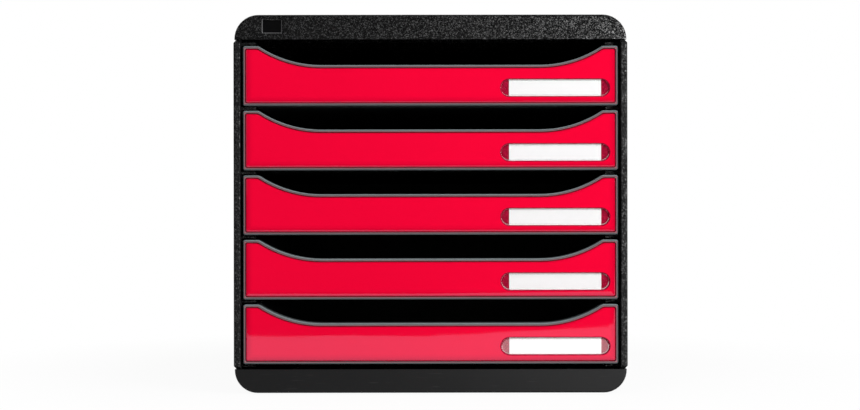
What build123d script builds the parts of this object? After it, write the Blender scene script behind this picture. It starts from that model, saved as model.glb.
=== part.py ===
from build123d import *
import os
from math import sqrt

# Desk drawer unit, closed. Millimetres, origin on the ground under the middle of the unit,
# +X to the right as seen from the front, +Y to the back, +Z up.

# Casing
unit_width = 278.0
unit_depth = 347.0
wall = 3.0
cover_step = 0.7            # how far each cover's sides stand in from the side panels
cover_wall = 2.5
cover_edge = 1.4
top_cover_height = 17.4
top_cover_corner = 17.0
base_cover_height = 16.6
base_cover_corner = 16.2
cover_rib = 1.6
cover_rib_columns = 8
cover_rib_rows = 10
cover_rib_short = 1.0       # ribs stop this far inside the seam
groove_width = 2.2          # V-groove at the panels' ends, across and along
groove_height = 2.6
bead_width = 4.85
bead_depth = 10.0
bead_edge = 0.8
panel_edge = 1.5            # rounding of a side panel's outer front edge

# Badge field on the front band, left bare
badge_width = 13.1
badge_height = 8.8
badge_depth = 0.9
badge_chamfer = 0.5
badge_from_side = 20.0
badge_from_top = 3.8

# Back panel and the grooves that hold it
back_thickness = 2.5
back_tuck = 5.0             # how far it reaches into each cover
back_tuck_inset = 2.0       # from the inner face of the cover's side wall
back_rib_thickness = 2.0
back_rib_reach = 4.0

# Tongues that tie the side panels to the covers
tongue_thickness = 2.3
tongue_length = 24.0
tongue_height = 7.5
tongue_inset = 2.6          # from the inner face of the cover's side wall
tongue_root = 3.4
tongue_rows = (1, 4, 7)     # rib bays that hold one, counted from the front

# Feet
foot_radius = 6.7
foot_standoff = 0.6
foot_recess = 1.5
foot_chamfer = 0.3
foot_boss_margin = 2.5
foot_boss_height = 2.0
foot_inset_x = 24.0
foot_inset_y = 28.0

# Drawers
drawer_count = 5
front_height = 42.0
front_gap = 3.6
front_below = 3.7           # base cover to the lowest front
front_above = 4.7           # highest front to the top cover
front_side_gap = 1.8
front_setback = 1.0
front_corner = 1.5
drawer_close_gap = 0.35
drawer_travel = 240.0
stop_gap = 0.3

# Tray
tray_wall = 2.0
tray_floor = 2.0
tray_side_step = 2.0        # tray sides stand in from the front's sides
tray_side_height = 40.0
tray_corner = 5.0
tray_floor_round = 2.0
lip_depth = 14.0
lip_thickness = 2.0
lug_length = 8.0
lug_height = 20.0
lug_bottom = 12.0
lug_ramp = 3.0

# Runner ledges on the side panels
ledge_thickness = 2.2
ledge_under_tray = 6.0      # how far a ledge reaches in under the tray
runner_gap = 0.3

# Finger cut-out along the front's top edge
finger_shoulder = 11.1      # level stretch left at each end of the top edge
finger_drop = 13.35
finger_radius = 80.0
finger_kink_round = 3.0

# Rim and red plate
rim_side = 1.4
rim_edge = 1.6
rim_depth = 2.6
rim_round = 0.9
plate_thickness = 2.2
plate_round = 1.1
peg_radius = 2.0
peg_proud = 0.8
peg_height = 22.6
peg_places = (-95.0, -30.0, 30.0, 95.0)

# Label window and card
window_length = 76.7
window_height = 12.0
window_from_side = 6.0      # from the front's side to the window's end
window_from_bottom = 6.5
window_setback = 0.6        # the window's face lies this far inside the plate's
window_round = 0.2
pocket_depth = 1.5
pocket_round = 0.35
card_length = 65.0
card_thickness = 0.3

# Clearances
fit_gap = 0.3
groove_gap = 0.15
window_gap = 0.15

# Places that follow from the sizes above
half_width = unit_width / 2
half_depth = unit_depth / 2
seam_low = foot_standoff + base_cover_height
front_pitch = front_height + front_gap
drawer_stack = drawer_count * front_height + (drawer_count - 1) * front_gap
seam_high = seam_low + front_below + drawer_stack + front_above
unit_height = seam_high + top_cover_height
lowest_drawer = seam_low + front_below

cover_half_width = half_width - cover_step
panel_inside = half_width - wall
bead_inside = half_width - bead_width
front_width = 2 * (bead_inside - front_side_gap)
front_face = -half_depth + front_setback
finger_run = sqrt(finger_radius**2 - (finger_radius - finger_drop) ** 2)
finger_flat = front_width - 2 * (finger_shoulder + finger_run)
front_wall_back = front_face + rim_depth + tray_wall
tray_half_width = front_width / 2 - tray_side_step

back_face = half_depth - cover_wall - fit_gap
back_front = back_face - back_thickness
tray_back = back_front - drawer_close_gap

bead_back = -half_depth + bead_depth
ledge_inside = tray_half_width - ledge_under_tray
window_centre = front_width / 2 - window_from_side - window_length / 2
window_middle = window_from_bottom + window_height / 2

tongue_outside = cover_half_width - cover_wall - tongue_inset
tongue_inside = tongue_outside - tongue_thickness
rib_outside = tongue_inside - fit_gap
rib_column_pitch = (2 * rib_outside - cover_rib) / cover_rib_columns
rib_row_pitch = (unit_depth - 2 * cover_wall) / cover_rib_rows


# Helpers
on_base = (Align.CENTER, Align.CENTER, Align.MIN)


def block(x_range, y_range, z_range):
    size = [high - low for low, high in (x_range, y_range, z_range)]
    corner = Pos(x_range[0], y_range[0], z_range[0])
    return corner * Box(*size, align=(Align.MIN, Align.MIN, Align.MIN))


def prism(face, front, depth):
    """A face drawn in X and Z, pushed back along Y from the front."""
    plane = Plane(origin=(0, front + depth, 0), x_dir=(1, 0, 0), z_dir=(0, -1, 0))
    return extrude(plane * face, amount=depth, dir=(0, -1, 0))


def drawer_level(number):
    """Underside of a drawer, counted from 1 at the top."""
    return lowest_drawer + (drawer_count - number) * front_pitch


# Covers, drawn with the seam at height 0 and the closed side up
def cover_profile(height, corner, inset):
    box = Rectangle(
        2 * (cover_half_width - inset),
        height - inset,
        align=(Align.CENTER, Align.MIN),
    )
    upper = box.vertices().group_by(Axis.Y)[-1]
    return fillet(upper, corner - inset)


def cover_shell(height, corner):
    outer = prism(cover_profile(height, corner, 0), -half_depth, unit_depth)
    ends = outer.faces().sort_by(Axis.Y)
    rims = ends[0].edges() + ends[-1].edges()
    outer = fillet(rims.filter_by(lambda edge: edge.center().Z > fit_gap), cover_edge)
    inner_depth = unit_depth - 2 * cover_wall
    inner_profile = cover_profile(height, corner, cover_wall)
    hollow = prism(inner_profile, -half_depth + cover_wall, inner_depth)
    return outer - hollow + cover_ribs(height, hollow)


def cover_ribs(height, hollow):
    half_rib = cover_rib / 2
    rise = (cover_rib_short, height)
    ribs = []
    for column in range(cover_rib_columns + 1):
        middle = rib_column_pitch * (column - cover_rib_columns / 2)
        across = (middle - half_rib, middle + half_rib)
        ribs.append(block(across, (-half_depth, half_depth), rise))
    for row in range(1, cover_rib_rows):
        middle = rib_row_pitch * (row - cover_rib_rows / 2)
        along = (middle - half_rib, middle + half_rib)
        ribs.append(block((-half_width, half_width), along, rise))
    slot = block(
        (-half_width, half_width),
        (back_front - fit_gap, half_depth),
        (0, back_tuck + fit_gap),
    )
    grid = ribs[0].fuse(*ribs[1:])
    return (grid & hollow) - slot


def top_cover():
    cover = cover_shell(top_cover_height, top_cover_corner)
    left = -cover_half_width + badge_from_side
    upper = top_cover_height - badge_from_top
    badge = block(
        (left, left + badge_width),
        (-half_depth, -half_depth + badge_depth),
        (upper - badge_height, upper),
    )
    cover = cover - badge
    mouth = cover.faces().sort_by(Axis.Y)[0].inner_wires()[0]
    return Pos(0, 0, seam_high) * chamfer(mouth.edges(), badge_chamfer)


def foot_places():
    x = half_width - foot_inset_x
    y = half_depth - foot_inset_y
    return {
        "front_left": (-x, -y),
        "front_right": (x, -y),
        "back_left": (-x, y),
        "back_right": (x, y),
    }


def base_cover():
    cover = mirror(cover_shell(base_cover_height, base_cover_corner), about=Plane.XY)
    cover = Pos(0, 0, seam_low) * cover
    boss_radius = foot_radius + foot_boss_margin
    boss_top = foot_standoff + cover_wall + foot_boss_height
    for x, y in foot_places().values():
        boss = Cylinder(boss_radius, boss_top - foot_standoff, align=on_base)
        cover = cover + Pos(x, y, foot_standoff) * boss
    for x, y in foot_places().values():
        recess = Cylinder(foot_radius + fit_gap, foot_recess, align=on_base)
        cover = cover - Pos(x, y, foot_standoff) * recess
    return cover


def rubber_foot(place):
    foot = Cylinder(foot_radius, foot_standoff + foot_recess, align=on_base)
    foot = chamfer(foot.faces().sort_by(Axis.Z)[0].edges(), foot_chamfer)
    return Pos(*place, 0) * foot


# Side panels, drawn on the right and mirrored for the left
def panel_profile(inside):
    return make_face(
        Polyline(
            (inside, seam_low),
            (half_width - groove_width, seam_low),
            (half_width, seam_low + groove_height),
            (half_width, seam_high - groove_height),
            (half_width - groove_width, seam_high),
            (inside, seam_high),
            close=True,
        )
    )


def groove_across(seam, way):
    """Wedge that carries the V-groove across the front of a bead."""
    wedge = make_face(
        Polyline(
            (-half_depth, seam),
            (-half_depth + groove_width, seam),
            (-half_depth, seam + way * groove_height),
            close=True,
        )
    )
    side = Plane(origin=(bead_inside, 0, 0), x_dir=(0, 1, 0), z_dir=(1, 0, 0))
    return extrude(side * wedge, amount=bead_width, dir=(1, 0, 0))


def side_panel():
    bead = prism(panel_profile(bead_inside), -half_depth, bead_depth)
    for seam, way in ((seam_low, 1), (seam_high, -1)):
        bead = bead - groove_across(seam, way)
    outer = bead.faces().sort_by(Axis.Y)[0].edges().sort_by(Axis.X)[-1]
    bead = fillet(outer, panel_edge)
    bead = fillet(bead.faces().sort_by(Axis.Y)[0].edges().sort_by(Axis.X)[0], bead_edge)
    plate = prism(panel_profile(panel_inside), bead_back, half_depth - bead_back)
    panel = bead + plate
    for shelf in range(drawer_count + 1):
        top = lowest_drawer + shelf * front_pitch - runner_gap
        panel = panel + block(
            (ledge_inside, panel_inside),
            (bead_back, back_front - groove_gap),
            (top - ledge_thickness, top),
        )
    rib = (panel_inside - back_rib_reach, panel_inside)
    rib_back = back_front - groove_gap
    panel = panel + block(rib, (rib_back - back_rib_thickness, rib_back), (seam_low, seam_high))
    panel = panel + block(rib, (back_face + groove_gap, half_depth), (seam_low, seam_high))
    for row in tongue_rows:
        panel = panel + tongue(row, seam_high, 1) + tongue(row, seam_low, -1)
    return panel


def tongue(row, seam, way):
    middle = rib_row_pitch * (row + 0.5 - cover_rib_rows / 2)
    along = (middle - tongue_length / 2, middle + tongue_length / 2)
    root = sorted((seam - way * tongue_root, seam))
    blade = sorted((seam - way * tongue_root, seam + way * tongue_height))
    return block((tongue_inside, panel_inside), along, root) + block(
        (tongue_inside, tongue_outside), along, blade
    )


def back_panel():
    side = panel_inside - fit_gap
    tab = cover_half_width - cover_wall - back_tuck_inset
    thickness = (back_front, back_face)
    sheet = block((-side, side), thickness, (seam_low + fit_gap, seam_high - fit_gap))
    return sheet + block((-tab, tab), thickness, (seam_low - back_tuck, seam_high + back_tuck))


# Drawers, drawn with their underside at height 0
def front_outline(side_inset, edge_inset):
    """Outline of the drawer front, with the finger cut-out, drawn in from its edges."""
    side = front_width / 2 - side_inset
    high = front_height - edge_inset
    flat = front_height - finger_drop - edge_inset
    radius = finger_radius + edge_inset
    centre = flat + radius
    corner = finger_flat / 2
    kink = corner + sqrt(radius**2 - (centre - high) ** 2)
    middle = (corner + kink) / 2
    middle_height = centre - sqrt(radius**2 - (middle - corner) ** 2)
    edges = [
        Polyline((-kink, high), (-side, high), (-side, edge_inset)),
        Line((-side, edge_inset), (side, edge_inset)),
        Polyline((side, edge_inset), (side, high), (kink, high)),
        ThreePointArc((kink, high), (middle, middle_height), (corner, flat)),
        Line((corner, flat), (-corner, flat)),
        ThreePointArc((-corner, flat), (-middle, middle_height), (-kink, high)),
    ]
    face = make_face(edges)
    kinks = face.vertices().filter_by(lambda point: abs(abs(point.X) - kink) < fit_gap)
    face = fillet(kinks, finger_kink_round - edge_inset / 2)
    corners = face.vertices().filter_by(lambda point: abs(abs(point.X) - side) < fit_gap)
    return fillet(corners, front_corner)


def drawer_tray():
    front = prism(front_outline(0, 0), front_face, lip_depth)
    front = fillet(front.faces().sort_by(Axis.Y)[0].edges(), rim_round)
    under_lip = prism(
        front_outline(tray_side_step + tray_wall, lip_thickness),
        front_wall_back,
        front_face + lip_depth - front_wall_back,
    )
    recess = prism(front_outline(rim_side, rim_edge), front_face, rim_depth)
    tray = front - under_lip - recess + tub()
    for x in peg_places:
        hole = Cylinder(peg_radius + fit_gap, tray_wall, rotation=(90, 0, 0))
        tray = tray - Pos(x, front_wall_back - tray_wall / 2, peg_height) * hole
    return tray + stop_lug() + mirror(stop_lug(), about=Plane.YZ)


def tub():
    outer = block(
        (-tray_half_width, tray_half_width),
        (front_wall_back, tray_back),
        (0, tray_side_height),
    )
    outer = fillet(outer.edges().filter_by(Axis.Z).sort_by(Axis.Y)[-2:], tray_corner)
    inside = tray_half_width - tray_wall
    hollow = block(
        (-inside, inside),
        (front_wall_back, tray_back - tray_wall),
        (tray_floor, tray_side_height + tray_floor),
    )
    upright = hollow.edges().filter_by(Axis.Z).sort_by(Axis.Y)[-2:]
    hollow = fillet(upright, tray_corner - tray_wall)
    floor = hollow.faces().sort_by(Axis.Z)[0].edges()
    back_and_sides = floor.filter_by(lambda edge: edge.center().Y > front_wall_back + fit_gap)
    return outer - fillet(back_and_sides, tray_floor_round)


def stop_lug():
    front = bead_back + drawer_travel + stop_gap
    reach = panel_inside - fit_gap
    lug = make_face(
        Polyline(
            (tray_half_width, front),
            (reach, front),
            (reach, front + lug_length - lug_ramp),
            (tray_half_width, front + lug_length),
            close=True,
        )
    )
    return extrude(Plane.XY.offset(lug_bottom) * lug, amount=lug_height, dir=(0, 0, 1))


def pill(grow):
    slot = SlotOverall(window_length + 2 * grow, window_height + 2 * grow)
    return Pos(window_centre, window_middle) * slot


def front_plate():
    face = front_face + rim_depth - plate_thickness
    outline = front_outline(rim_side + fit_gap, rim_edge + fit_gap)
    plate = prism(outline, face, plate_thickness)
    plate = fillet(plate.faces().sort_by(Axis.Y)[0].edges(), plate_round)
    plate = plate - prism(pill(window_gap), face, pocket_depth)
    mouth = plate.faces().sort_by(Axis.Y)[0].inner_wires()[0]
    plate = fillet(mouth.edges(), pocket_round)
    for x in peg_places:
        length = tray_wall + peg_proud
        peg = Cylinder(peg_radius, length, rotation=(90, 0, 0))
        plate = plate + Pos(x, face + plate_thickness + length / 2, peg_height) * peg
    return plate


def label_card():
    face = front_face + rim_depth - plate_thickness
    card = Rectangle(card_length, window_height - 2 * fit_gap)
    back = face + pocket_depth
    return prism(Pos(window_centre, window_middle) * card, back - card_thickness, card_thickness)


def label_window():
    face = front_face + rim_depth - plate_thickness + window_setback
    thickness = pocket_depth - card_thickness - window_setback
    window = prism(pill(0), face, thickness)
    return fillet(window.faces().sort_by(Axis.Y)[0].edges(), window_round)


# The whole unit
def build():
    right_panel = side_panel()
    parts = {
        "top_cover": top_cover(),
        "base_cover": base_cover(),
        "right_side_panel": right_panel,
        "left_side_panel": mirror(right_panel, about=Plane.YZ),
        "back_panel": back_panel(),
    }
    for corner, place in foot_places().items():
        parts[f"rubber_foot_{corner}"] = rubber_foot(place)
    pieces = {
        "drawer_tray": drawer_tray(),
        "front_plate": front_plate(),
        "label_card": label_card(),
        "label_window": label_window(),
    }
    for number in range(1, drawer_count + 1):
        for name, piece in pieces.items():
            parts[f"{name}_{number}"] = Pos(0, 0, drawer_level(number)) * piece
    return parts


os.makedirs("parts", exist_ok=True)
for name, shape in build().items():
    export_step(shape, f"parts/{name}.step")
print("height", unit_height, "front width", front_width)
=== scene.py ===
from math import asin, cos, pi, radians, sin, sqrt

import bmesh
import bpy
from mathutils import Matrix, Vector


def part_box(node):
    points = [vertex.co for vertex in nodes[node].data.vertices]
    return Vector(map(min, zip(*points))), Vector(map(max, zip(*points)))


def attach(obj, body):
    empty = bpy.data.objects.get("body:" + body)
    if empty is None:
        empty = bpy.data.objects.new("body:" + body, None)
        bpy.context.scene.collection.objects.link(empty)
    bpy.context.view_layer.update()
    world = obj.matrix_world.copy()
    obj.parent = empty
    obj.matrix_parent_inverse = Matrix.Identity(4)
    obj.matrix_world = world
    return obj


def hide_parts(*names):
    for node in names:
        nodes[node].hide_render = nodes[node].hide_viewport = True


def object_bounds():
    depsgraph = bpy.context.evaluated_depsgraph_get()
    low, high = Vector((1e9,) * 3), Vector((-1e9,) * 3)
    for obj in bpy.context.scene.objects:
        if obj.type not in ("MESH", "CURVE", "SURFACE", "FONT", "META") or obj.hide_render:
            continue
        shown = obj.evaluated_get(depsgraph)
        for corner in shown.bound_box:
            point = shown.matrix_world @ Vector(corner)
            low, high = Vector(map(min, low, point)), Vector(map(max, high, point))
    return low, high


# A desk drawer box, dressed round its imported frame. Metres; the fronts look along -Y.
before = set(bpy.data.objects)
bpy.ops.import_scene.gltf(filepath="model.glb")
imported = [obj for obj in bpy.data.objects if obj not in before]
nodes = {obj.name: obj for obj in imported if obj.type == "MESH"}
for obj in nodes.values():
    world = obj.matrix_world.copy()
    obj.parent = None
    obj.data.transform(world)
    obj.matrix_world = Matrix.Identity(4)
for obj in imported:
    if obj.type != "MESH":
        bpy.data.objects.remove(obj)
cad_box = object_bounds()


# Base cover: a shallow tub moulded in black plastic, closed side down. Its mould was
# polished, so the band under the drawers is smooth satin with only a faint fine grain.
# The side panels' lower tongues are pressed into it.
def add_node(tree, kind, inputs=None, **settings):
    """A shader node; an input's value may be a number, a colour or another node's output."""
    node = tree.nodes.new(kind)
    for name, value in settings.items():
        setattr(node, name, value)
    for name, value in (inputs or {}).items():
        feed(tree, node.inputs[name], value)
    return node


def feed(tree, socket, value):
    """Links an output to an input, or sets the input to a plain value."""
    if isinstance(value, bpy.types.NodeSocket):
        tree.links.new(value, socket)
    else:
        socket.default_value = value


def own_place(tree):
    """Where a point lies, in the piece's own coordinates."""
    return add_node(tree, "ShaderNodeTexCoord").outputs["Object"]


def parted(tree, vector):
    """A vector's X, Y and Z."""
    return add_node(tree, "ShaderNodeSeparateXYZ", {"Vector": vector}).outputs


def maths(tree, operation, first, second=0.0, clamp=False):
    """One step of arithmetic on one or two numbers or outputs."""
    inputs = {0: first, 1: second}
    node = add_node(tree, "ShaderNodeMath", inputs, operation=operation, use_clamp=clamp)
    return node.outputs[0]


def noise(tree, place, waves, detail=2.0, roughness=0.5):
    """Cloudy noise, with so many waves to a metre."""
    inputs = {"Vector": place, "Scale": waves, "Detail": detail, "Roughness": roughness}
    return add_node(tree, "ShaderNodeTexNoise", inputs).outputs["Fac"]


def ramp(tree, value, start, end):
    """0 before the start, 1 past the end, and even in between; the end may be the lower."""
    inputs = {"Value": value, "From Min": start, "From Max": end}
    return add_node(tree, "ShaderNodeMapRange", inputs).outputs["Result"]


def spread(tree, value, low, high):
    """A value from 0 to 1, spread between two limits."""
    inputs = {"Value": value, "To Min": low, "To Max": high}
    return add_node(tree, "ShaderNodeMapRange", inputs).outputs["Result"]


def mixed(tree, share, first, second):
    """A colour between two, by a share that varies over the surface."""
    mix = add_node(tree, "ShaderNodeMix", data_type="RGBA")
    for index, value in ((0, share), (6, first), (7, second)):
        feed(tree, mix.inputs[index], value)
    return mix.outputs[2]


def new_group(name, inputs, outputs):
    """An empty shader node group with float inputs and outputs."""
    group = bpy.data.node_groups.new(name, "ShaderNodeTree")
    for socket, value in inputs.items():
        made = group.interface.new_socket(socket, in_out="INPUT", socket_type="NodeSocketFloat")
        made.default_value = value
    for socket in outputs:
        group.interface.new_socket(socket, in_out="OUTPUT", socket_type="NodeSocketFloat")
    given = group.nodes.new("NodeGroupInput").outputs
    result = group.nodes.new("NodeGroupOutput").inputs
    return group, given, result


hairline_turn = (0.3, 0.2, 0.5)
hairline_waves = (60.0, 1500.0, 1500.0)      # to a metre, along a hairline and across it
hairline_part = (0.70, 0.78)                 # of the noise: only its peaks show as lines
speck_waves = 1100.0
speck_part = (0.52, 0.74)


def handling_group():
    """Soft smudges left by hands, fine hairline scuffs, and dust on faces that look up."""
    group, given, result = new_group(
        "handling", {"Smudge Size": 14.0, "Dust": 0.2}, ("Smudge", "Scuff", "Dust")
    )
    place = own_place(group)
    smudge = noise(group, place, given["Smudge Size"], detail=3.0)
    drawn_out = {"Vector": place, "Rotation": hairline_turn, "Scale": hairline_waves}
    along = add_node(group, "ShaderNodeMapping", drawn_out).outputs["Vector"]
    scuff = ramp(group, noise(group, along, 1.0, detail=1.0), *hairline_part)
    upward = parted(group, add_node(group, "ShaderNodeNewGeometry").outputs["Normal"])["Z"]
    specks = ramp(group, noise(group, place, speck_waves), *speck_part)
    dusty = maths(group, "MULTIPLY", upward, specks, clamp=True)
    group.links.new(smudge, result["Smudge"])
    group.links.new(scuff, result["Scuff"])
    group.links.new(maths(group, "MULTIPLY", dusty, given["Dust"]), result["Dust"])
    return group


fine_ratio = 2.7             # the fine grain's waves to each of the pebbles'
fine_share = 0.4
patch_waves = 35.0
patch_share = 0.12
cover_share = 0.2
tip_part = (0.66, 0.76)      # of the height, from which the pebbles' tips show


def grain_group():
    """The pebbled skin of a spark-eroded mould: its height, its bright tips, which lie
    thicker and thinner over a hand's breadth, and how much each pebble faces the light."""
    group, given, result = new_group(
        "mould_grain", {"Pebbles": 900.0, "Cover": 0.5}, ("Height", "Tips", "Facets")
    )
    place = own_place(group)
    coarse = noise(group, place, given["Pebbles"], detail=1.0, roughness=0.65)
    fine_waves = maths(group, "MULTIPLY", given["Pebbles"], fine_ratio)
    fine = noise(group, place, fine_waves, detail=1.0)
    patches = noise(group, place, patch_waves, detail=1.0)
    height = maths(group, "ADD", coarse, maths(group, "MULTIPLY", fine, fine_share))
    level = maths(group, "ADD", coarse, maths(group, "MULTIPLY", patches, patch_share))
    covered = maths(group, "MULTIPLY", given["Cover"], cover_share)
    level = maths(group, "ADD", level, covered)
    cells = add_node(group, "ShaderNodeTexVoronoi", {"Vector": place, "Scale": given["Pebbles"]})
    parts = add_node(group, "ShaderNodeSeparateColor", {"Color": cells.outputs["Color"]})
    group.links.new(height, result["Height"])
    group.links.new(ramp(group, level, *tip_part), result["Tips"])
    group.links.new(parts.outputs["Red"], result["Facets"])
    return group


handling = handling_group()
mould_grain = grain_group()


def new_material(name, **fixed):
    """A material's tree and its Principled shader, with the values that don't vary."""
    made = bpy.data.materials.new(name)
    made.use_nodes = True
    shader = made.node_tree.nodes["Principled BSDF"]
    for socket, value in fixed.items():
        shader.inputs[socket.replace("_", " ")].default_value = value
    return made, made.node_tree, shader


def add_relief(tree, shader, height, distance, strength=1.0):
    """Small relief in the shading, from a height that varies over the surface."""
    inputs = {"Height": height, "Distance": distance, "Strength": strength}
    relief = add_node(tree, "ShaderNodeBump", inputs).outputs["Normal"]
    tree.links.new(relief, shader.inputs["Normal"])


def inside_box(tree, low, high):
    """1 inside a box in the piece's own coordinates, 0 outside."""
    middle = (Vector(low) + Vector(high)) / 2
    half = (Vector(high) - Vector(low)) / 2
    place = own_place(tree)
    for operation, value in (("SUBTRACT", middle), ("DIVIDE", half), ("ABSOLUTE", None)):
        inputs = {0: place} if value is None else {0: place, 1: tuple(value)}
        place = add_node(tree, "ShaderNodeVectorMath", inputs, operation=operation).outputs[0]
    x, y, z = parted(tree, place)
    furthest = maths(tree, "MAXIMUM", x, maths(tree, "MAXIMUM", y, z))
    return maths(tree, "LESS_THAN", furthest, 1.0)


scuff_grey = (0.06, 0.06, 0.06, 1)
scuff_share = 0.25
house_dust = (0.30, 0.29, 0.28, 1)
pebble_ior = 2.2
glint_power = 5.5            # the higher it is, the fewer pebbles are bright
sheen_spread = 0.08          # how much smudges change the roughness, either way
polish_gain = 0.15           # how much smoother a polished place is


def black_moulding(
    name, body, tips, pebbles, cover, depth, rough, specular, dust=0.12, glint=0.0, polished=()
):
    """Black moulded plastic: its mould's grain, smudges, scuffs and a little dust.

    With a glint, each pebble of the grain has a brightness of its own, which lightens its
    tone and gives it a coat, up to the glint's share; few are bright and most are dark.
    Without one, the grain's tips have the tips' tone and nothing has a coat. Polished places
    are boxes, each with a tone, in which the mould has no grain.
    """
    made, tree, shader = new_material(
        name, IOR=1.5, Specular_IOR_Level=specular, Coat_Roughness=rough, Coat_IOR=pebble_ior
    )
    touch = add_node(tree, "ShaderNodeGroup", {"Dust": dust}, node_tree=handling).outputs
    own_grain = {"Pebbles": pebbles, "Cover": cover}
    grain = add_node(tree, "ShaderNodeGroup", own_grain, node_tree=mould_grain).outputs
    bright = maths(tree, "POWER", grain["Facets"], glint_power) if glint else grain["Tips"]
    tone = mixed(tree, bright, (*body, 1), (*tips, 1))
    tone = mixed(tree, maths(tree, "MULTIPLY", touch["Scuff"], scuff_share), tone, scuff_grey)
    tone = mixed(tree, touch["Dust"], tone, house_dust)
    sheen = spread(tree, touch["Smudge"], rough - sheen_spread, rough + sheen_spread)
    height = grain["Height"]
    coat = maths(tree, "MULTIPLY", bright, glint)
    if polished:
        smooth = 0.0
        for corners, polished_tone_or_painted_highlight in polished:
            there = inside_box(tree, *corners)
            # On the sunk field's border this tone is a painted highlight.
            tone = mixed(tree, there, tone, polished_tone_or_painted_highlight)
            smooth = maths(tree, "MAXIMUM", smooth, there)
        sheen = maths(tree, "SUBTRACT", sheen, maths(tree, "MULTIPLY", smooth, polish_gain))
        still_grained = maths(tree, "SUBTRACT", 1.0, smooth)
        height = maths(tree, "MULTIPLY", height, still_grained)
        coat = maths(tree, "MULTIPLY", coat, still_grained)
    if glint:
        tree.links.new(coat, shader.inputs["Coat Weight"])
    tree.links.new(tone, shader.inputs["Base Color"])
    tree.links.new(sheen, shader.inputs["Roughness"])
    add_relief(tree, shader, height, depth)
    return made


def finish_node(node, material):
    """Gives a CAD node its finish."""
    shape = nodes[node].data
    shape.materials.clear()
    shape.materials.append(material)


smooth_black = black_moulding(
    "smooth_black_plastic",
    body=(0.0055, 0.0056, 0.0060),
    tips=(0.0065, 0.0066, 0.0068),
    pebbles=1500.0,
    cover=0.3,
    depth=0.00002,
    rough=0.42,
    specular=0.14,
)
finish_node("base_cover", smooth_black)


# Rubber feet: four soft black discs, glued into round recesses under the base cover, so
# that the box doesn't slide. Their skin is dull, with a trace of pale bloom.
foot_rubber = black_moulding(
    "foot_rubber",
    body=(0.012, 0.012, 0.012),
    tips=(0.03, 0.03, 0.03),
    pebbles=1800.0,
    cover=0.4,
    depth=0.00004,
    rough=0.8,
    specular=0.2,
    dust=0.4,
)
for corner in ("front_left", "front_right", "back_left", "back_right"):
    finish_node(f"rubber_foot_{corner}", foot_rubber)


# Side panels and back panel: walls moulded in grained black plastic. The side panels
# carry the runner ledges and a front bead, and the back panel slides in between them.
panel_black = black_moulding(
    "panel_black_plastic",
    body=(0.0030, 0.0031, 0.0034),
    tips=(0.040, 0.040, 0.041),
    pebbles=1300.0,
    cover=0.0,
    depth=0.0006,
    rough=0.46,
    specular=0.08,
    dust=0.04,
    glint=0.22,
)
for panel in ("left_side_panel", "right_side_panel", "back_panel"):
    finish_node(panel, panel_black)


# Top cover: the same plastic from a deeply spark-eroded mould, so that its skin is a
# pebbled grain that hides scratches. It is pressed onto the side panels' upper tongues.
# The small sunk field at its left end is polished and bare; its slanted border is painted
# lighter as a highlight.
cover_low, cover_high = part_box("top_cover")
field_left = cover_low.x + 0.0200
field_right = field_left + 0.0131
field_top = cover_high.z - 0.0038
field_bottom = field_top - 0.0088
field_edge = 0.0005          # the field's slanted border, as deep as it is wide
field_skin = 0.00002         # how far below the face the border starts to be polished
field_back = cover_low.y + 0.003        # the polished boxes reach well behind the floor
border_box = (
    (field_left - field_edge, cover_low.y + field_skin, field_bottom - field_edge),
    (field_right + field_edge, field_back, field_top),
)
floor_box = (
    (field_left, cover_low.y + field_edge, field_bottom),
    (field_right, field_back, field_top),
)
# painted highlight on the sunk field's slanted border
painted_border_highlight = (0.11, 0.11, 0.113, 1)
floor_tone = (0.0035, 0.0035, 0.0037, 1)
cover_black = black_moulding(
    "grained_black_plastic",
    body=(0.0002, 0.0002, 0.0003),
    tips=(0.020, 0.020, 0.0205),
    pebbles=1850.0,
    cover=0.0,
    depth=0.0006,
    rough=0.36,
    specular=0.05,
    dust=0.04,
    glint=1.0,
    polished=((border_box, painted_border_highlight), (floor_box, floor_tone)),
)
finish_node("top_cover", cover_black)


# Drawer trays: one moulding each in dark grey plastic, with the rim round the red front,
# the pull lip behind the finger cut-out and the stop lugs at the sides. The lip's upward
# faces are painted lighter as a highlight, and the inner strip of the rim's face has a
# painted pink reflection of the red beside it.
drawer_numbers = range(1, 6)
tray_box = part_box("drawer_tray_5")
lip_depth = 0.006            # the part of the rim's upper edge that is painted lighter as a highlight
plate_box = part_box("front_plate_1")
plate_bottom = plate_box[0].z
plate_half = plate_box[1].x
plate_height = plate_box[1].z - plate_bottom
plate_pitch = plate_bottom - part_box("front_plate_2")[0].z
lowest_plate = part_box("front_plate_5")[0].z
finger_drop = 0.01335
finger_radius = 0.0819       # concentric with the tray's cut-out, by the rim and its gap
finger_flat_half = 0.0770
rim_gap = 0.0003             # between the plate's outline and the rim's inner edge
red_reflection_width = 0.0007            # the width of the strip with the painted red reflection
rim_skin = 0.0005            # and how far back it reaches
tray_grey = (0.070, 0.081, 0.086, 1)
tray_grey_smudged = (0.084, 0.096, 0.102, 1)
tray_scuff = (0.11, 0.12, 0.12, 1)
tray_scuff_share = 0.3
tray_dust = (0.35, 0.34, 0.33, 1)
# painted highlight on the lip's upward faces
painted_lip_highlight = (0.25, 0.29, 0.30, 1)
# painted reflection of the red plate on the rim's inner strip
painted_red_reflection = (0.36, 0.13, 0.155, 1)
tray_roughness = (0.26, 0.38)
tray_skin = 0.00001          # the height of its faint grain


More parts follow.
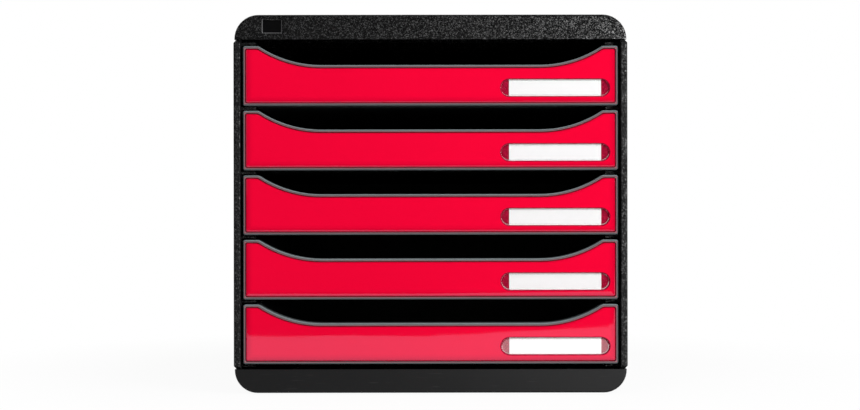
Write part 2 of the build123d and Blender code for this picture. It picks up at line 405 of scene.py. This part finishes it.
def plate_margins(tree):
    """How far a point lies within the red plate's upper edge with its cut-out, and within
    its other edges, in metres; both are below 0 outside. It serves all five plates."""
    x, y, z = parted(tree, own_place(tree))
    x = maths(tree, "ABSOLUTE", x)
    half_gap = (plate_pitch - plate_height) / 2
    z = maths(tree, "MODULO", maths(tree, "SUBTRACT", z, lowest_plate - half_gap), plate_pitch)
    z = maths(tree, "SUBTRACT", z, half_gap)
    across = maths(tree, "MAXIMUM", maths(tree, "SUBTRACT", x, finger_flat_half), 0.0)
    down = maths(tree, "SUBTRACT", plate_height - finger_drop + finger_radius, z)
    across_squared = maths(tree, "POWER", across, 2.0)
    down_squared = maths(tree, "POWER", down, 2.0)
    distance = maths(tree, "SQRT", maths(tree, "ADD", across_squared, down_squared))
    cut_out = maths(tree, "SUBTRACT", distance, finger_radius)
    upper = maths(tree, "MINIMUM", cut_out, maths(tree, "SUBTRACT", plate_height, z))
    others = maths(tree, "MINIMUM", maths(tree, "SUBTRACT", plate_half, x), z)
    return upper, others


def tray_plastic():
    """Satin dark grey, with a painted highlight on the lip and a painted pink reflection on the
    rim.
    """
    made, tree, shader = new_material("tray_grey_plastic", IOR=1.5, Specular_IOR_Level=0.5)
    touch = add_node(tree, "ShaderNodeGroup", {"Dust": 0.06}, node_tree=handling).outputs
    grain = add_node(tree, "ShaderNodeGroup", {"Pebbles": 2400.0}, node_tree=mould_grain).outputs
    tone = mixed(tree, touch["Smudge"], tray_grey, tray_grey_smudged)
    scuffed = maths(tree, "MULTIPLY", touch["Scuff"], tray_scuff_share)
    tone = mixed(tree, scuffed, tone, tray_scuff)
    tone = mixed(tree, touch["Dust"], tone, tray_dust)
    # The lip's upward faces are painted lighter: a painted highlight.
    upward = parted(tree, add_node(tree, "ShaderNodeNewGeometry").outputs["Normal"])["Z"]
    lip_end = (tray_box[1].x, tray_box[0].y + lip_depth, cover_high.z)
    lip = inside_box(tree, tray_box[0], lip_end)
    tone = mixed(tree, maths(tree, "MULTIPLY", upward, lip, clamp=True), tone, painted_lip_highlight)
    # The rim's inner strip beside the red is painted pink: a painted reflection of the plate.
    upper, others = plate_margins(tree)
    outside = maths(tree, "MULTIPLY", maths(tree, "MINIMUM", upper, others), -1.0)
    red_reflection_strip = ramp(tree, outside, rim_gap + red_reflection_width, rim_gap)
    back = parted(tree, own_place(tree))["Y"]
    on_face = maths(tree, "LESS_THAN", back, tray_box[0].y + rim_skin)
    tone = mixed(tree, maths(tree, "MULTIPLY", red_reflection_strip, on_face), tone, painted_red_reflection)
    tree.links.new(tone, shader.inputs["Base Color"])
    tree.links.new(spread(tree, touch["Smudge"], *tray_roughness), shader.inputs["Roughness"])
    add_relief(tree, shader, grain["Height"], tray_skin)
    return made


tray_finish = tray_plastic()
for number in drawer_numbers:
    finish_node(f"drawer_tray_{number}", tray_finish)


# Front plates: glossy red mouldings with round edges. Each has a shallow pocket with round
# ends for its label, left matt by the mould, and four pegs through the tray's front wall,
# whose ends are heated and flattened into heads. Along its outline the red is darkened as
# painted shade.
window_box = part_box("label_window_1")
plate_front = plate_box[0].y
plate_thickness = 0.0022
plate_round = 0.0011         # how far back the rounded edge reaches
plate_fall = 0.0014          # and how far in from the outline
plate_corner = 0.0015
kink_round = 0.0020
pocket_round = 0.0005
pocket_depth = 0.0015
pocket_play = 0.00015        # between the pocket and its window, all round
peg_places = (-0.095, -0.030, 0.030, 0.095)
peg_radius = 0.0020
peg_head_radius = 0.0031
peg_head_height = 0.0007
peg_sides = 28
tray_wall = 0.0020
peg_level = plate_bottom + 0.0207
hold = 0.00004               # a narrow flat ring that keeps a flat face's shading flat
merge_distance = 0.000001
round_steps = 6
arc_steps = 20
pill_sides = 56
quarter = pi / 2


def push(shape, face, inward, along, outset=False):
    """Draws a face inward from its outline, or outward, and then along its normal."""
    bmesh.ops.inset_region(
        shape,
        faces=[face],
        thickness=inward,
        depth=along,
        use_boundary=True,
        use_even_offset=True,
        use_outset=outset,
    )


def round_edge(shape, face, reach, depth, sunk=False):
    """Raises a face by a rounded edge, with a flat ring inside it, or sinks it by one."""
    for step in range(round_steps):
        low = quarter * step / round_steps
        high = quarter * (step + 1) / round_steps
        if sunk:
            inward, along = sin(high) - sin(low), cos(high) - cos(low)
        else:
            inward, along = cos(low) - cos(high), sin(high) - sin(low)
        push(shape, face, reach * inward, depth * along)
    if not sunk:
        push(shape, face, hold, 0.0)


def open_edges(shape):
    """The edges that only one face has."""
    return [edge for edge in shape.edges if edge.is_boundary]


def close_back(shape):
    """Closes the forms over the edges that they were raised from, and turns all outward."""
    bmesh.ops.holes_fill(shape, edges=open_edges(shape), sides=0)
    bmesh.ops.recalc_face_normals(shape, faces=list(shape.faces))


def round_corners(shape, corners, radius):
    """Rounds corners of a flat outline."""
    bmesh.ops.bevel(
        shape,
        geom=corners,
        offset=radius,
        offset_type="OFFSET",
        affect="VERTICES",
        segments=8,
        profile=0.5,
        material=-1,
    )


def pill_face(shape, length, height, centre):
    """A face with round ends that looks to the front: a circle whose halves are drawn apart."""
    to_front = Matrix.Rotation(quarter, 4, "X")
    half_step = Matrix.Rotation(pi / pill_sides, 4, "Z")
    made = bmesh.ops.create_circle(
        shape,
        cap_ends=True,
        segments=pill_sides,
        radius=height / 2,
        matrix=Matrix.Translation(centre) @ to_front @ half_step,
    )
    for way in (-1, 1):
        half = [point for point in made["verts"] if (point.co.x - centre[0]) * way > 0]
        bmesh.ops.translate(shape, verts=half, vec=(way * (length - height) / 2, 0, 0))
    return made["verts"][0].link_faces[0]


def plate_outline(shape):
    """The plate's face with its finger cut-out: half is drawn, the cut-out's arc is spun from
    one point, and the other half is mirrored."""
    back = plate_front + plate_thickness
    low, high = plate_bottom, plate_bottom + plate_height
    flat = high - finger_drop
    run = sqrt(finger_radius**2 - (finger_radius - finger_drop) ** 2)
    places = [(0, flat), (0, low), (plate_half, low), (plate_half, high)]
    start = shape.verts.new((finger_flat_half, back, flat))
    points = [shape.verts.new((x, back, z)) for x, z in places]
    spun = bmesh.ops.spin(
        shape,
        geom=[start],
        cent=(finger_flat_half, back, flat + finger_radius),
        axis=(0, -1, 0),
        dvec=(0, 0, 0),
        angle=asin(run / finger_radius),
        steps=arc_steps,
        use_duplicate=False,
    )
    kink = next(item for item in spun["geom_last"] if isinstance(item, bmesh.types.BMVert))
    for first, second in zip([start, *points], [*points, kink]):
        shape.edges.new((first, second))
    bmesh.ops.contextual_create(shape, geom=list(shape.edges))
    round_corners(shape, [points[2], points[3]], plate_corner)
    round_corners(shape, [kink], kink_round)
    bmesh.ops.mirror(shape, geom=[*shape.verts, *shape.edges, *shape.faces], axis="X")
    bmesh.ops.remove_doubles(shape, verts=list(shape.verts), dist=merge_distance)
    seam = [edge for edge in shape.edges if len(edge.link_faces) == 2]
    bmesh.ops.dissolve_edges(shape, edges=seam)
    face = list(shape.faces)[0]
    face.normal_update()
    if face.normal.y > 0:
        face.normal_flip()
    return face


def peg(shape, x):
    """A peg on the plate's back, with the head that its heated end was pressed into."""
    to_back = Matrix.Rotation(-quarter, 4, "X")
    made = bmesh.ops.create_circle(
        shape,
        cap_ends=True,
        segments=peg_sides,
        radius=peg_radius,
        matrix=Matrix.Translation((x, plate_front + plate_thickness, peg_level)) @ to_back,
    )
    face = made["verts"][0].link_faces[0]
    push(shape, face, 0.0, tray_wall)
    push(shape, face, peg_head_radius - peg_radius, 0.0, outset=True)
    round_edge(shape, face, peg_head_height, peg_head_height)


def red_plate():
    """The plate, drawn forward from its outline, with its label pocket and its pegs."""
    shape = bmesh.new()
    face = plate_outline(shape)
    push(shape, face, 0.0, plate_thickness - plate_round)
    round_edge(shape, face, plate_fall, plate_round)
    bmesh.ops.delete(shape, geom=[face], context="FACES_ONLY")
    mouth_grow = pocket_play + pocket_round + hold
    size = window_box[1] - window_box[0]
    middle = (window_box[0] + window_box[1]) / 2
    mouth = pill_face(
        shape,
        size.x + 2 * mouth_grow,
        size.z + 2 * mouth_grow,
        (middle.x, plate_front, middle.z),
    )
    push(shape, mouth, hold, 0.0)
    mouth.material_index = 1
    round_edge(shape, mouth, pocket_round, pocket_round, sunk=True)
    push(shape, mouth, 0.0, pocket_round - pocket_depth)
    front = [edge for edge in open_edges(shape) if edge.verts[0].co.y < plate_front + hold]
    bmesh.ops.triangle_fill(shape, use_beauty=True, edges=front, normal=(0, -1, 0))
    for x in peg_places:
        peg(shape, x)
    close_back(shape)
    return shape


def new_piece(name, shape, materials, level):
    """A piece from a shape drawn for drawer 1, set at another drawer's level."""
    mesh = bpy.data.meshes.new(name)
    shape.to_mesh(mesh)
    mesh.transform(Matrix.Translation((0, 0, level)))
    for material in materials:
        mesh.materials.append(material)
    mesh.shade_smooth()
    mesh.set_sharp_from_angle(angle=radians(40.0))
    made = bpy.data.objects.new(name, mesh)
    bpy.context.scene.collection.objects.link(made)
    return made


def dress(name, shape, materials, node):
    """The piece in every drawer, each in the place of its CAD node."""
    shape.normal_update()
    for number in drawer_numbers:
        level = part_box(f"{node}_{number}")[0].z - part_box(f"{node}_1")[0].z
        piece = new_piece(f"{name}_{number}", shape, materials, level)
        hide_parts(f"{node}_{number}")
        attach(piece, f"drawer_{number}")
    shape.free()


edge_strip = 0.0058          # along the outline, where the face falls away and the red is darkened as painted shade
edge_fall = 0.0002           # how far it falls there, in its shading alone
edge_power = 1.8             # the higher it is, the closer to the outline that happens
upper_share = 0.4            # of that strip's width, along the upper edge and the cut-out
plate_tones = ((0.83, 0.0012, 0.032, 1), (0.91, 0.0020, 0.037, 1))
# painted shade along the plates' outline
painted_edge_shade_red = (0.54, 0.0010, 0.024, 1)
red_gloss_tint = (0.50, 0.62, 1.0, 1)
plate_roughness = (0.015, 0.045)
scuff_roughness = 0.12
flow_waves = 30.0            # slow waves in the moulded face, which bend its reflections
flow_height = 0.00003
pocket_tones = ((0.32, 0.0022, 0.027, 1), (0.48, 0.007, 0.048, 1))
pocket_grain = 0.0002


def near_outline(tree):
    """1 on the plate's outline, with its finger cut-out, and 0 from the strip's width inward."""
    upper, others = plate_margins(tree)
    inside = maths(tree, "MINIMUM", maths(tree, "DIVIDE", upper, upper_share), others)
    near = maths(tree, "SUBTRACT", 1.0, maths(tree, "DIVIDE", inside, edge_strip), clamp=True)
    return maths(tree, "POWER", near, edge_power)


def plate_plastic():
    """Polished red plastic, with smudges, hairlines, a face that isn't quite flat and painted
    shade along its outline.
    """
    made, tree, shader = new_material(
        "gloss_red", IOR=1.5, Specular_IOR_Level=0.8, Specular_Tint=red_gloss_tint
    )
    touch = add_node(tree, "ShaderNodeGroup", {"Smudge Size": 9.0}, node_tree=handling).outputs
    near = near_outline(tree)
    # Near the outline the red is darkened: painted shade.
    tone = mixed(tree, near, mixed(tree, touch["Smudge"], *plate_tones), painted_edge_shade_red)
    gloss = spread(tree, touch["Smudge"], *plate_roughness)
    scuffed = maths(tree, "MULTIPLY", touch["Scuff"], scuff_roughness)
    flow = maths(tree, "MULTIPLY", noise(tree, own_place(tree), flow_waves, 1.0), flow_height)
    height = maths(tree, "SUBTRACT", flow, maths(tree, "MULTIPLY", near, edge_fall))
    tree.links.new(tone, shader.inputs["Base Color"])
    tree.links.new(maths(tree, "ADD", gloss, scuffed), shader.inputs["Roughness"])
    add_relief(tree, shader, height, distance=1.0)      # its height is in metres already
    return made


def pocket_plastic():
    """A darker red than the plate's, grained and matt, in the label pocket and round its mouth.
    """
    made, tree, shader = new_material("matt_red_pocket", Roughness=0.6, Specular_IOR_Level=0.1)
    grain = add_node(tree, "ShaderNodeGroup", {"Pebbles": 900.0}, node_tree=mould_grain).outputs
    tone = mixed(tree, grain["Tips"], *pocket_tones)
    tree.links.new(tone, shader.inputs["Base Color"])
    add_relief(tree, shader, grain["Height"], pocket_grain)
    return made


dress("red_front", red_plate(), [plate_plastic(), pocket_plastic()], "front_plate")


# Label cards: plain white card strips, cut with slightly round corners and slid in behind
# the windows. They are left blank.
card_corner = 0.0006
card_rise = 0.00025          # how much higher than its CAD node it reaches, in its pocket
fibre_waves = (500.0, 1500.0, 2500.0)
fibre_height = 0.00002
card_tones = ((0.965, 0.97, 0.975, 1), (0.99, 0.99, 0.99, 1))


def front_to_back(edge):
    """Whether an edge runs from the front to the back."""
    start, end = (point.co for point in edge.verts)
    return abs((start - end).normalized().y) > 0.9


def paper_card():
    """A thin block with round corners."""
    shape = bmesh.new()
    low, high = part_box("label_card_1")
    high = high + Vector((0, 0, card_rise))
    size = high - low
    bmesh.ops.create_cube(
        shape,
        size=1.0,
        matrix=Matrix.Translation((low + high) / 2) @ Matrix.Diagonal((*size, 1)),
    )
    bmesh.ops.bevel(
        shape,
        geom=[edge for edge in shape.edges if front_to_back(edge)],
        offset=card_corner,
        offset_type="OFFSET",
        affect="EDGES",
        segments=4,
        profile=0.5,
        material=-1,
    )
    return shape


def card_paper():
    """White card with short flat fibres."""
    made, tree, shader = new_material(
        "white_card", IOR=1.45, Specular_IOR_Level=0.3, Roughness=0.75
    )
    drawn_out = {"Vector": own_place(tree), "Scale": fibre_waves}
    fibres = add_node(tree, "ShaderNodeMapping", drawn_out).outputs["Vector"]
    fleck = noise(tree, fibres, 1.0, detail=3.0)
    tree.links.new(mixed(tree, fleck, *card_tones), shader.inputs["Base Color"])
    add_relief(tree, shader, fleck, fibre_height, strength=0.6)
    return made


dress("blank_card", paper_card(), [card_paper()], "label_card")


# Label windows: clear strips with round ends, clicked into the pockets in front of the
# cards. Light falls through them onto the card, and their polished round edge catches it.
window_round = 0.0005        # how far back the rounded edge reaches
window_fall = 0.0010         # and how far in from the outline
face_coat_ior = 1.6
edge_coat_ior = 3.6          # higher, so that the narrow edge shines
window_roughness = (0.02, 0.10)


def clear_window():
    """The strip, drawn forward from its back, with its rounded edge."""
    shape = bmesh.new()
    low, high = window_box
    size = high - low
    middle = (low + high) / 2
    face = pill_face(shape, size.x, size.z, (middle.x, high.y, middle.z))
    push(shape, face, 0.0, size.y - window_round)
    face.material_index = 1
    round_edge(shape, face, window_fall, window_round)
    face.material_index = 0
    close_back(shape)
    return shape


def clear_plastic(name, coat_ior):
    """Clear plastic with a thin coat and a few smudges."""
    made, tree, shader = new_material(
        name,
        Base_Color=(1.0, 1.0, 1.0, 1),
        IOR=1.5,
        Specular_IOR_Level=1.0,
        Transmission_Weight=1.0,
        Coat_Weight=1.0,
        Coat_IOR=coat_ior,
        Coat_Roughness=0.03,
    )
    touch = add_node(tree, "ShaderNodeGroup", {"Smudge Size": 60.0}, node_tree=handling).outputs
    tree.links.new(spread(tree, touch["Smudge"], *window_roughness), shader.inputs["Roughness"])
    return made


clear = [
    clear_plastic("clear_window", face_coat_ior),
    clear_plastic("clear_window_edge", edge_coat_ior),
]
dress("clear_window", clear_window(), clear, "label_window")
for number in drawer_numbers:
    pane = bpy.data.objects[f"clear_window_{number}"]
    pane.visible_shadow = False
    pane.visible_diffuse = False


# Camera: straight in front, at the middle of the box's height.
view_distance = 1.150
image_width = 860
pixel = 0.0007049            # metres on the front's plane for each pixel
view_centre = (-0.0004, 0.1331)
roll = radians(0.08)

camera = bpy.data.cameras.new("camera")
camera.sensor_width = 36.0
camera.lens = camera.sensor_width * view_distance / (pixel * image_width)
camera.clip_end = 50.0
camera_object = bpy.data.objects.new("camera", camera)
bpy.context.scene.collection.objects.link(camera_object)
camera_object.matrix_world = (
    Matrix.Translation((view_centre[0], cad_box[0].y - view_distance, view_centre[1]))
    @ Matrix.Rotation(quarter, 4, "X")
    @ Matrix.Rotation(-roll, 4, "Z")
)
bpy.context.scene.camera = camera_object


# Studio floor: a wide pale floor that looks white, with a trace of the box's shadow near it.
# The camera, gloss and clear plastic see its white glow; it lights the box as plain paint.
floor_half = 20.0
floor_paint_tone = (0.85, 0.85, 0.85, 1)
glow_from, glow_to = 0.22, 0.42         # from the box's middle, where the shadow fades out
glow_near = 0.94


def stage_plane(name, corners, material):
    """One flat face of the studio."""
    shape = bmesh.new()
    bmesh.ops.contextual_create(shape, geom=[shape.verts.new(place) for place in corners])
    mesh = bpy.data.meshes.new(name)
    shape.to_mesh(mesh)
    shape.free()
    mesh.materials.append(material)
    made = bpy.data.objects.new(name, mesh)
    bpy.context.scene.collection.objects.link(made)
    return made


def seen_white(tree):
    """1 for what the camera, gloss and clear plastic see, 0 for plain light."""
    path = add_node(tree, "ShaderNodeLightPath").outputs
    seen = maths(tree, "MAXIMUM", path["Is Camera Ray"], path["Is Glossy Ray"])
    return maths(tree, "MAXIMUM", seen, path["Is Transmission Ray"])


def floor_paint():
    """Pale paint, mixed with a white glow that only some rays see."""
    made, tree, shader = new_material(
        "pale_floor", Base_Color=floor_paint_tone, Roughness=0.9, Specular_IOR_Level=0.1
    )
    glow = add_node(tree, "ShaderNodeEmission", {"Color": (1, 1, 1, 1), "Strength": 1.0})
    away = add_node(tree, "ShaderNodeVectorMath", {0: own_place(tree)}, operation="LENGTH")
    far = ramp(tree, away.outputs["Value"], glow_from, glow_to)
    share = maths(tree, "MULTIPLY", seen_white(tree), spread(tree, far, glow_near, 1.0))
    inputs = {0: share, 1: shader.outputs["BSDF"], 2: glow.outputs["Emission"]}
    blend = add_node(tree, "ShaderNodeMixShader", inputs).outputs["Shader"]
    tree.links.new(blend, tree.nodes["Material Output"].inputs["Surface"])
    return made


floor_corners = [(-floor_half, -floor_half, 0), (floor_half, -floor_half, 0),
                 (floor_half, floor_half, 0), (-floor_half, floor_half, 0)]
stage_plane("floor", floor_corners, floor_paint())


# Dark room: the floor beyond the pale table, the walls and the ceiling behind the camera.
# Only reflections see them, so that the fronts mirror the dark above and the table below.
table_edge = cad_box[0].y - 0.480       # where the pale table ends before the fronts
bend_x = 0.18                           # right of the middle its edge slants toward the
bend_reach = 0.113                      # camera, so far by this bend
end_reach = 0.9                         # and so far by the right wing
room_end = -1.9
room_half = 1.5
room_height = 2.2
left_wing_front, right_wing_front = 0.6, -0.25
above_floor = 0.002

dark = new_material(
    "dark_room", Base_Color=(0.002, 0.002, 0.002, 1), Roughness=0.9, Specular_IOR_Level=0.1
)[0]
room_planes = {
    "dark_floor": [
        (-room_half, room_end, above_floor),
        (room_half, room_end, above_floor),
        (room_half, table_edge - end_reach, above_floor),
        (bend_x, table_edge - bend_reach, above_floor),
        (0.0, table_edge, above_floor),
        (-room_half, table_edge, above_floor),
    ],
    "dark_wall": [
        (-room_half, room_end, 0),
        (room_half, room_end, 0),
        (room_half, room_end, room_height),
        (-room_half, room_end, room_height),
    ],
    "dark_wing_left": [
        (-room_half, room_end, 0),
        (-room_half, left_wing_front, 0),
        (-room_half, left_wing_front, room_height),
        (-room_half, room_end, room_height),
    ],
    "dark_wing_right": [
        (room_half, room_end, 0),
        (room_half, right_wing_front, 0),
        (room_half, right_wing_front, room_height),
        (room_half, room_end, room_height),
    ],
    "dark_ceiling": [
        (-room_half, room_end, room_height),
        (room_half, room_end, room_height),
        (room_half, right_wing_front, room_height),
        (-room_half, right_wing_front, room_height),
    ],
}
for name, corners in room_planes.items():
    plane = stage_plane(name, corners, dark)
    plane.visible_camera = False
    plane.visible_diffuse = False
    plane.visible_shadow = False


# Lamps: soft boxes to both sides and above, and a long narrow one that gives the casing's
# grain its glints. It stands level with the cover's front band: from higher up it would
# light the cover's flat top, and from lower down the gap under the cover.
aim = Vector((0, 0, 0.13))              # about the box's middle


def soft_box(name, place, size, power, mirrored=True, only=None):
    """A rectangular lamp turned to the box, which gloss mirrors or not. One that is for some
    pieces only gives them glints and no plain light."""
    lamp = bpy.data.lights.new(name, "AREA")
    lamp.shape = "RECTANGLE"
    lamp.size, lamp.size_y = size
    lamp.energy = power
    made = bpy.data.objects.new(name, lamp)
    bpy.context.scene.collection.objects.link(made)
    facing = (aim - Vector(place)).to_track_quat("-Z", "Y")
    made.matrix_world = Matrix.Translation(place) @ facing.to_matrix().to_4x4()
    made.visible_glossy = mirrored
    if only:
        made.visible_diffuse = False
        made.light_linking.receiver_collection = only


grained = bpy.data.collections.new("grained_pieces")
for name in ("top_cover", "base_cover", "left_side_panel", "right_side_panel"):
    grained.objects.link(bpy.data.objects[name])
soft_box("key_right", place=(1.25, -0.95, 0.75), size=(1.1, 1.3), power=25.0, mirrored=False)
soft_box("fill_left", place=(-1.15, -1.1, 0.6), size=(0.8, 0.9), power=1.0)
soft_box("top", place=(0, -1.0, 1.35), size=(1.4, 0.8), power=9.0, mirrored=False)
soft_box("sheen_right", place=(0.80, -1.10, 0.259), size=(0.6, 0.012), power=36.0, only=grained)


# Shade card: a narrow card beside the cover, cut out round its corner. It keeps the narrow
# lamp off the cover's long side edge, which would glare toward anyone who looks from behind.
shade_y = cad_box[0].y + 0.0015
shade_outer = cad_box[1].x + 0.3000
shade_bottom, shade_top = 0.2440, 0.2720
cover_corner = 0.0170
shade_cut = 0.0176           # the radius of its cut-out, about that corner's own centre
cut_x = cad_box[1].x - cover_corner
cut_z = cad_box[1].z - cover_corner
shade_outline = [
    (shade_outer, shade_top),
    (shade_outer, shade_bottom),
    (cut_x + shade_cut, shade_bottom),
]
for turn in (0, 30, 60, 90):
    along, up = cos(radians(turn)), sin(radians(turn))
    shade_outline.append((cut_x + shade_cut * along, cut_z + shade_cut * up))
shade_outline.append((cut_x, shade_top))
shade_card = stage_plane("shade_card", [(x, shade_y, z) for x, z in shade_outline], dark)
shade_card.visible_camera = False
shade_card.visible_diffuse = False
shade_card.visible_glossy = False
shade_card.visible_transmission = False


# World: white where it is seen, and only a dim, even light on the box.
room_light = 0.2
world = bpy.data.worlds.new("studio")
world.use_nodes = True
tree = world.node_tree
background = tree.nodes["Background"].inputs
background["Color"].default_value = (1, 1, 1, 1)
tree.links.new(spread(tree, seen_white(tree), room_light, 1.0), background["Strength"])
bpy.context.scene.world = world
bpy.context.scene.view_settings.view_transform = "Standard"
